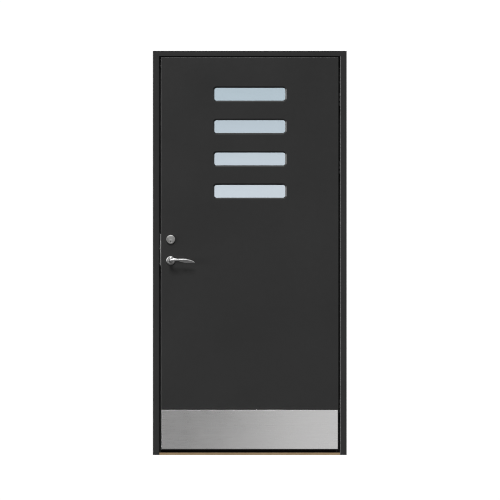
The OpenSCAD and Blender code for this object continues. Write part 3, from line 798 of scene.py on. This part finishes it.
# ---------------------------------------------------------------- inside turn
def stadium(w, h, n=14):
    """Upright, w wide and h high over the round ends."""
    r = w / 2
    c = h / 2 - r
    return [(r * cos(a), c + r * sin(a)) for a in [pi * k / n for k in range(n + 1)]] + [
        (-r * cos(a), -c - r * sin(a)) for a in [pi * k / n for k in range(n + 1)]
    ]


neck = solid_lathe(
    [(0, 2)] + rounded([(0.01, 2), (7, 2), (7, 9.6), (5.2, 10.8), (5.2, 13.0), (0.01, 13.4)], [0, 0.3, 0.6, 0.5, 0.4, 0], 4)[1:-1] + [(0, 13.4)],
    64,
)
grip_rings = []
for d, h in [(2.0, 12.6), (0.9, 12.8), (0.25, 13.5), (0.0, 14.6)]:
    grip_rings.append((d, h))
for k in range(9):
    h = 15 + k * 1.2
    waist = 0.9 * sin(pi * k / 8)
    grip_rings.append((waist, h))
grip_rings += [(0.0, 25.4), (0.15, 26.6), (0.8, 27.6), (1.9, 28.0)]
grip = loft([[(x, y, h) for x, y in stadium(9 - 2 * d, 33 - 2 * d)] for d, h in grip_rings])
v, f = moved(merge([neck, grip]), on_face(HX, CYL_Z, 1))
add_piece("thumb_turn_cast", v, f, M["rose_steel"], "leaf", "rose_steel", (HX, Y1, CYL_Z), ("thumb_turn",), angle=40)


# ---------------------------------------------------------------- outside cylinder
def egg(ra, n=72, m=56):
    """A large round of radius ra above, and one 1.5 smaller EGG_DROP below it."""
    rb = ra - 1.5
    a = asin(1.5 / EGG_DROP)
    pts = [(ra * cos(t), ra * sin(t)) for t in [-a + (pi + 2 * a) * k / n for k in range(n + 1)]]
    pts += [(rb * cos(t), -EGG_DROP + rb * sin(t)) for t in [pi + a + (pi - 2 * a) * k / m for k in range(m + 1)]]
    return pts


def egg_ring(d, h):
    return [(x, y, h) for x, y in egg(22 - d)]


# a ring that slopes a little outwards: upright foot, round edge, slope, inner wall
RING = [(0, 0), (0, 8.2), (0.1, 8.5), (0.35, 8.72), (0.7, 8.84), (3.9, 9.27), (4.3, 9.3), (4.45, 9.2), (4.5, 9.0), (4.5, 0)]
v, f = moved(tube([egg_ring(d, h) for d, h in RING]), on_face(HX, CYL_Z, -1))
add_piece("cylinder_ring_turned", v, f, M["cylinder_steel"], "leaf", "cylinder_steel", (HX, Y0, CYL_Z), ("cylinder_ring",))

BODY = [(0, 0), (0, 6.6), (0.15, 7.3), (0.6, 7.75), (1.2, 7.9)]
body_part = loft([[(x, y, h) for x, y in egg(17.45 - d)] for d, h in BODY])
body_part = moved(body_part, on_face(HX, CYL_Z, -1))
o = add_piece("cylinder_body", *body_part, M["cylinder_face"], "leaf", "cylinder_steel", (HX, Y0, CYL_Z - PLUG_DROP), ("lock_cylinder",))
PLUG = on_face(HX, CYL_Z - PLUG_DROP, -1)
cut(o, moved(loft([[(7.1 * cos(2 * pi * a / 96), 7.1 * sin(2 * pi * a / 96), h) for a in range(96)] for h in (-2, 14)]), PLUG))

plug = solid_lathe(
    [(0, 0), (7, 0)] + rounded([(7, 0.5), (7, 8.5), (6.0, 8.5), (0.01, 8.5)], [0, 0.35, 0, 0], 4) + [(0, 8.5)],
    96,
)
plug_part = moved(plug, PLUG)
o = add_piece("cylinder_plug_turned", *plug_part, M["cylinder_face"], "leaf", "cylinder_steel", (HX, Y0, CYL_Z - PLUG_DROP), ("cylinder_plug",))
key = [(-1.0, -4.0), (0.4, -4.0), (0.4, -2.2), (1.3, -2.2), (1.3, -0.4), (0.2, -0.4), (0.2, 1.4), (1.1, 1.4), (1.1, 4.0), (-1.0, 4.0), (-1.0, 0.8), (-1.7, 0.8), (-1.7, -1.2), (-1.0, -1.2)]
key = [(1.9 * x + 0.8, 1.25 * y - 1.4) for x, y in key]
cut(o, moved(prism(key, 1.2, 12), PLUG))
# painted shade: a near-black sheet at the floor of the keyway stands in for the shade deep inside it
keyway_shade_sheet = moved(loft([[(x + 0.5, y - 1.4, h) for x, y in rrect(7.0, 10.6, 0.6)] for h in (0.9, 1.3)]), PLUG)
add_piece("keyway_painted_shade_sheet", *keyway_shade_sheet, M["dark_recess"], "leaf", "lock_steel", (HX, Y0, CYL_Z - PLUG_DROP))


# a low land around the plug, sloping away from it
land = lathe([(7.2, 7.0), (7.2, 8.3), (7.3, 8.4), (8.0, 8.4), (10.4, 7.92), (10.4, 7.0)], 96)
add_piece("cylinder_land_turned", *moved(land, PLUG), M["cylinder_face"], "leaf", "cylinder_steel", (HX, Y0, CYL_Z - PLUG_DROP))


# ---------------------------------------------------------------- kick plate
KW, KH, KZ, KT = 906.0, 200.0, 31.4, 1.5
plate = slab(lambda d: rrect(KW - 2 * d, KH - 2 * d, 2.2 - d, 6), edged(0, KT, 0.25, 3))
place = Matrix.Translation((0, Y0, KZ + KH / 2)) @ OUT
v, f = moved(plate, place)
add_piece("kick_plate_sheet", v, f, M["brushed_sheet"], "leaf", "brushed_sheet", (0, Y0, KZ + KH / 2), ("kick_plate",), uv=lambda co: (co.x, co.z))


# ---------------------------------------------------------------- glazing units
for i, wz in enumerate(WINDOW_Z):
    w, h, r = PANE_W + 26 - 0.6, PANE_H + 26 - 0.6, PANE_R + 13 - 0.3
    at = Matrix.Translation((0, GLASS_Y, wz)) @ OUT
    outline = lambda d: rrect(w - 2 * d, h - 2 * d, r - d, 10)
    parts = [
        slab(outline, edged(-6.0, 0.0, 0.5, 2)),  # outer pane
        slab(outline, edged(-GLASS_T, -GLASS_T + 6.0, 0.5, 2)),  # inner pane
    ]
    v, f = moved(merge(parts), at)
    add_piece(f"glazing_unit_{i + 1}", v, f, GLASS[i], "leaf", "pane_glass", (0, GLASS_Y, wz), (f"glass_{i + 1}",))
    ring = lambda d, hh: [(x, y, hh) for x, y in outline(d)]
    spacer = tube([ring(1.0, -6.0), ring(7.0, -6.0), ring(7.0, -GLASS_T + 6.0), ring(1.0, -GLASS_T + 6.0)])
    v, f = moved(spacer, at)
    add_piece(f"glazing_spacer_{i + 1}", v, f, M["spacer_alu"], "leaf", "pane_glass", (0, GLASS_Y, wz))


# ---------------------------------------------------------------- seals
# The section in mm: x across the stop, y up from it, with a hollow-looking bulb and two lips
def seal_outline():
    foot = [(-3.4, 0.0), (-3.5, 0.5), (-3.4, 1.2), (-2.5, 1.5)]
    bulb = [(2.75 * cos(a), 2.15 + 2.3 * sin(a)) for a in [pi * (0.97 - 0.94 * k / 16) for k in range(17)]]
    pts = foot + bulb + [(2.5, 1.5), (3.4, 1.2), (3.5, 0.5), (3.4, 0.0)]
    return pts


def seal(axis, a, b, at):
    """A seal along axis from a to b, on the stop's face at y = 17.5."""
    rings = []
    for t in (a, b):
        row = []
        for x, y in seal_outline():
            yy = 17.5 - y
            row.append((at + x, yy, t) if axis == "Z" else (t, yy, at + x))
        rings.append(row)
    return loft(rings)


SX = 465 - 16 + 1 + 3.5
for name, part in (
    ("seal_hinge_side", seal("Z", 13.0, 2037.5, SX)),
    ("seal_lock_side", seal("Z", 13.0, 2037.5, -SX)),
    ("seal_head", seal("X", -SX - 3.5, SX + 3.5, 2041.5)),
    ("seal_threshold", seal("X", -449.0, 449.0, 28.5)),
):
    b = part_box(name)
    c = (b[0] + b[1]) / 2 / MM
    add_piece(name + "_profile", *part, M["seal_rubber"], "frame", "seal_rubber", tuple(c), (name,), angle=40)


# ---------------------------------------------------------------- lock edge
def plate_with(name, w, h, t, place, material, body, slot, nodes, holes=(), r=1.5, origin=None, e=0.3):
    """A flat plate whose back lies at local z = 0, with openings cut through it."""
    part = moved(slab(lambda d: rrect(w - 2 * d, h - 2 * d, max(0.1, r - d), 6), edged(0, t, e, 2)), place)
    o = add_piece(name, *part, material, body, slot, origin or tuple(place.translation), nodes)
    for ow, oh, x, y, rr in holes:
        tool = moved(loft([[(px + x, py + y, hh) for px, py in rrect(ow, oh, rr, 6)] for hh in (-3, t + 3)]), place)
        cut(o, tool)
    return o


EDGE = on_edge(LOCK_MID) @ EDGE_OUT
# the plate's outside face is at the leaf's edge, so its back is 3 mm inside
plate_with(
    "lock_faceplate_steel", 22, 235, 3, EDGE @ Matrix.Translation((0, 0, -3)), M["lock_steel"], "leaf", "lock_steel", ("lock_faceplate",),
    [(12.6, 22.6, 0, LATCH_Z - LOCK_MID, 1.0), (14.6, 34.6, 0, BOLT_Z - LOCK_MID, 1.0), (6.4, 6.4, 0, -102, 3.19), (6.4, 6.4, 0, 102, 3.19), (6.4, 6.4, 0, -78, 3.19)],
)
parts = [moved(screw(3.2), EDGE @ Matrix.Translation((0, z, -0.05)) @ Matrix.Rotation(0.4 + z, 4, "Z")) for z in (-102, 102, -78)]
add_piece("lock_faceplate_screws", *merge(parts), M["screw_steel"], "leaf", "lock_steel", tuple((EDGE @ Vector((0, 0, 0)))))

# edge guard: an angle with a rounded nose
YE = (YM - Y0) / cos(BEVEL_A)
sec = rounded(
    [(-3.7, -YE), (0, -YE), (0, -YE + 18), (-1.5, -YE + 18), (-1.5, -YE + 5.5), (-3.7, -YE + 5.5)],
    [0.9, 0.4, 0.2, 0.4, 0.5, 0.8],
    5,
    closed=True,
)
guard = loft([[(x * k, y, z) for x, y in sec] for z, k in ((-80.5, 0.95), (-80.2, 1.0), (80.2, 1.0), (80.5, 0.95))])
v, f = moved(guard, on_edge(LOCK_MID))
o = add_piece("edge_guard_angle", v, f, M["lock_steel"], "leaf", "lock_steel", tuple(on_edge(LOCK_MID) @ Vector((0, -YE, 0))), ("edge_guard",))
guard_at = [on_edge(LOCK_MID) @ Matrix.Translation((-1.5, -YE + 11.8, z)) @ EDGE_OUT for z in (-68, -23, 23, 68)]
cut(o, *[moved(loft([[(2.8 * cos(2 * pi * a / 40), 2.8 * sin(2 * pi * a / 40), h) for a in range(40)] for h in (-3, 1.2)]), g) for g in guard_at])
parts = [moved(screw(2.7), g @ Matrix.Translation((0, 0, -0.05)) @ Matrix.Rotation(0.3 * k, 4, "Z")) for k, g in enumerate(guard_at)]
add_piece("edge_guard_screws", *merge(parts), M["screw_steel"], "leaf", "lock_steel", tuple(guard_at[1].translation))

for name, z in (("latch_bolt", LATCH_Z), ("dead_bolt", BOLT_Z)):
    at = on_edge(z) @ EDGE_OUT
    if name == "latch_bolt":
        # its nose is round across the edge
        nose = [(6 * cos(a), -2.6 + 3.1 * sin(a)) for a in [pi * k / 12 for k in range(1, 12)]]
        sect = [(-6, -19.5), (6, -19.5), (6, -2.6)] + nose + [(-6, -2.6)]
        part = loft([[(x * k, yy, hh) for x, hh in sect] for yy, k in ((-11, 0.93), (-10.6, 1.0), (10.6, 1.0), (11, 0.93))])
    else:
        part = slab(lambda d: rrect(14 - 2 * d, 34 - 2 * d, max(0.2, 1.2 - d), 5), [(0, -19.5), (0, -0.4), (0.1, 0.0), (0.45, 0.35), (0.9, 0.5)])
    v, f = moved(part, at)
    add_piece(name + "_steel", v, f, M["lock_steel"], "leaf", "lock_steel", tuple(at.translation), (name,))

# strike plate on the lock jamb, its face towards +X
STRIKE = Matrix.Translation((-XJ, YM + 1, LOCK_MID)) @ Matrix(((0, 0, 1), (1, 0, 0), (0, 1, 0))).to_4x4()
plate_with(
    "strike_plate_steel", 48, 170, 2, STRIKE, M["strike_steel"], "frame", "lock_steel", ("strike_plate",),
    [(16, 26, -1, LATCH_Z - LOCK_MID, 1.5), (18, 38, -1, BOLT_Z - LOCK_MID, 1.5)]
    + [(7.4, 7.4, x, y, 3.69) for x, y in ((-8, -72), (8, -64), (-8, 72), (8, 64))],
    r=3.0,
)
parts = [moved(screw(3.7), STRIKE @ Matrix.Translation((x, y, 1.95)) @ Matrix.Rotation(x + y, 4, "Z")) for x, y in ((-8, -72), (8, -64), (-8, 72), (8, 64))]
add_piece("strike_plate_screws", *merge(parts), M["screw_steel"], "frame", "lock_steel", (-XJ, YM, LOCK_MID))


# ---------------------------------------------------------------- small fixings
FACE_PX = Matrix(((0, 0, 1), (1, 0, 0), (0, 1, 0))).to_4x4()  # local z -> +X
FACE_NX = Matrix(((0, 0, -1), (-1, 0, 0), (0, 1, 0))).to_4x4()  # local z -> -X
CUP_Y = Y0 + 5 + 0.5 + 14
cup_f = [
    moved(screw(3.4), Matrix.Translation((XJ - 0.05 + 0.1, CUP_Y, z + s * 58)) @ FACE_NX @ Matrix.Rotation(0.5 * s + z, 4, "Z"))
    for z in HINGE_Z
    for s in (-1, 1)
]
add_piece("hinge_screws_frame", *merge(cup_f), M["screw_steel"], "frame", "hinge_steel", (XJ, CUP_Y, HINGE_Z[0]))
cup_l = [
    moved(screw(3.4), Matrix.Translation((LEAF_X + 0.05 - 0.1, CUP_Y, z + s * 58)) @ FACE_PX @ Matrix.Rotation(0.9 * s + z, 4, "Z"))
    for z in HINGE_Z
    for s in (-1, 1)
]
add_piece("hinge_screws_leaf", *merge(cup_l), M["screw_steel"], "leaf", "hinge_steel", (LEAF_X, CUP_Y, HINGE_Z[0]))

# caps in the frame's fixing holes
cap = solid_lathe(
    [(0, 0.55), (0.4, 0.55)] + rounded([(1.2, 0.55), (7.4, 0.45), (8.3, 0.15), (8.3, 0.0), (6.8, -0.02), (6.6, -5.0), (0.4, -5.0)], [0, 0.5, 0.2, 0, 0, 0.4, 0], 3) + [(0, -5.0)],
    48,
)
for side, sgn, face in (("lock", -1, FACE_PX), ("hinge", 1, FACE_NX)):
    caps = [moved(cap, Matrix.Translation((sgn * XJ, 0, z)) @ face) for z in FIX_Z]
    add_piece(f"fixing_caps_{side}_side", *merge(caps), M["cap_plastic"], "frame", "frame_paint", (sgn * XJ, 0, FIX_Z[0]))

# screws through the inner beads
bead = []
for wz in WINDOW_Z:
    for x in (-150, 0, 150):
        for s in (-1, 1):
            bead.append(moved(screw(3.1), Matrix.Translation((x, Y1 + 3.97, wz + s * (AZ + PANE_R + 11.5))) @ INN @ Matrix.Rotation(x + s, 4, "Z")))
add_piece("bead_screws", *merge(bead), M["screw_steel"], "leaf", "lock_steel", (0, Y1, WINDOW_Z[0]))


# ---------------------------------------------------------------- floor
fl = bpy.data.meshes.new("floor")
fl.from_pydata([(-9, -9, 0), (9, -9, 0), (9, 9, 0), (-9, 9, 0)], [], [(0, 1, 2, 3)])
floor = bpy.data.objects.new("floor", fl)
scene.collection.objects.link(floor)
k = Mat("floor_pale", Roughness=0.85)
k.p.inputs["Specular IOR Level"].default_value = 0.2
tone = k.noise(k.mapping(), 1.3, 4, 0.5)
k.set("Base Color", k.ramp(tone, [(0.3, 0.70), (0.7, 0.74)]))
fl.materials.append(k.m)

# The light comes from the world and the lamps: the floor only shows and takes shadow
floor.visible_glossy = False
floor.visible_diffuse = False
floor.visible_shadow = False

# ---------------------------------------------------------------- camera
S = 5.147
cam_data = bpy.data.cameras.new("camera")
cam = bpy.data.objects.new("camera", cam_data)
scene.collection.objects.link(cam)
cam_data.type = "ORTHO"
cam_data.ortho_scale = 500 * S * MM
cam_data.clip_end = 60
cam.location = ((250 - 249.70) * S * MM, -9.0, (454.95 - 250) * S * MM)
cam.rotation_euler = (radians(90), 0, 0)
scene.camera = cam

# ---------------------------------------------------------------- light
scene.view_settings.view_transform = "Standard"
scene.view_settings.look = "None"
scene.view_settings.exposure = 0.0
scene.view_settings.gamma = 1.0
scene.cycles.filter_width = 1.0

# How bright each part of the studio is, seen from the door
LOBES = {"down": 0.14, "front": 0.20, "back": 0.16}
w = bpy.data.worlds.new("studio")
scene.world = w
w.use_nodes = True
t = w.node_tree
t.nodes.clear()


def node_math(op, a, b):
    n = t.nodes.new("ShaderNodeMath")
    n.operation = op
    for i, v in enumerate((a, b)):
        if isinstance(v, (int, float)):
            n.inputs[i].default_value = v
        else:
            t.links.new(v, n.inputs[i])
    return n


sep = t.nodes.new("ShaderNodeSeparateXYZ")
t.links.new(t.nodes.new("ShaderNodeTexCoord").outputs["Generated"], sep.inputs[0])
WX, WY, WZ = sep.outputs
AIM = {"down": (WZ, -1.0, 1.0), "front": (WY, -1.0, 4.0), "back": (WY, 1.0, 2.0)}
level = None
for name, k in LOBES.items():
    src, sign, power = AIM[name]
    lobe = node_math("POWER", node_math("MAXIMUM", node_math("MULTIPLY", src, sign).outputs[0], 0.0).outputs[0], power)
    n = node_math("MULTIPLY", lobe.outputs[0], k)
    n.name = "lobe_" + name
    level = n if level is None else node_math("ADD", level.outputs[0], n.outputs[0])
wo = t.nodes.new("ShaderNodeOutputWorld")
mixer = t.nodes.new("ShaderNodeMixShader")
path = t.nodes.new("ShaderNodeLightPath")
dim = t.nodes.new("ShaderNodeBackground")
dim.inputs["Color"].default_value = (1, 1, 1, 1)
t.links.new(level.outputs[0], dim.inputs["Strength"])
clear = t.nodes.new("ShaderNodeBackground")
clear.inputs["Color"].default_value = (1, 1, 1, 1)
clear.inputs["Strength"].default_value = 1.05
t.links.new(path.outputs["Is Camera Ray"], mixer.inputs[0])
t.links.new(dim.outputs[0], mixer.inputs[1])
t.links.new(clear.outputs[0], mixer.inputs[2])
t.links.new(mixer.outputs[0], wo.inputs["Surface"])


def sun(name, towards, strength, angle):
    """A soft distant light that comes from the direction towards."""
    d = bpy.data.lights.new(name, "SUN")
    d.energy = strength
    d.angle = radians(angle)
    o = bpy.data.objects.new(name, d)
    scene.collection.objects.link(o)
    o.rotation_euler = Vector(towards).to_track_quat("Z", "Y").to_euler()
    o.location = Vector(towards).normalized() * 3
    return o


key = sun("key", (-0.10, -1.0, 1.15), 2.65, 20)
left_side = sun("left_side", (-1.0, -0.15, 0.10), 1.2, 40)
left_low = sun("left_low", (-1.0, -0.5, 0.05), 1.45, 20)
pane_light = sun("pane_light", (-0.34, -1.0, 0.30), 2.70, 8)
left_metal = sun("left_metal", (-1.0, -0.4, 0.4), 1.3, 50)
sun("top", (-0.1, -0.2, 1.0), 0.3, 40)
sun("right_side", (1.0, -0.3, 0.3), 0.3, 50)
sun("inside", (0.25, 1.0, 1.0), 2.2, 30)

# A bright board in front of the kick plate's right half, which only the plate sees
board = bpy.data.lights.new("board", "AREA")
board.shape = "RECTANGLE"
board.size = 1.8
board.size_y = 2.2
board.energy = 4.95
board_o = bpy.data.objects.new("board", board)
scene.collection.objects.link(board_o)
board_o.location = (0.93, -2.2, 0.14)
board_o.rotation_euler = (radians(90), 0, 0)
board_o.visible_camera = False


def sees(light, names, state="INCLUDE"):
    """Keeps a light to the named pieces, or off them."""
    c = bpy.data.collections.new(light.name + "_linking")
    for n in names:
        c.objects.link(bpy.data.objects[n])
    for k in c.collection_objects:
        k.light_linking.link_state = state
    light.light_linking.receiver_collection = c


PANES = [f"glazing_unit_{i + 1}" for i in range(4)]
HARDWARE = ["lever_outer_cast", "rose_outer_turned", "cylinder_ring_turned", "cylinder_body", "cylinder_plug_turned", "cylinder_land_turned"]
sees(board_o, ["kick_plate_sheet"])
# the panes lie behind their beads: a light of their own reaches them to the edges
sees(pane_light, PANES)
sees(left_metal, ["rose_outer_turned", "cylinder_ring_turned", "lever_outer_cast"])
sees(key, PANES, "EXCLUDE")
sees(left_side, PANES + HARDWARE, "EXCLUDE")
sees(left_low, PANES + HARDWARE, "EXCLUDE")
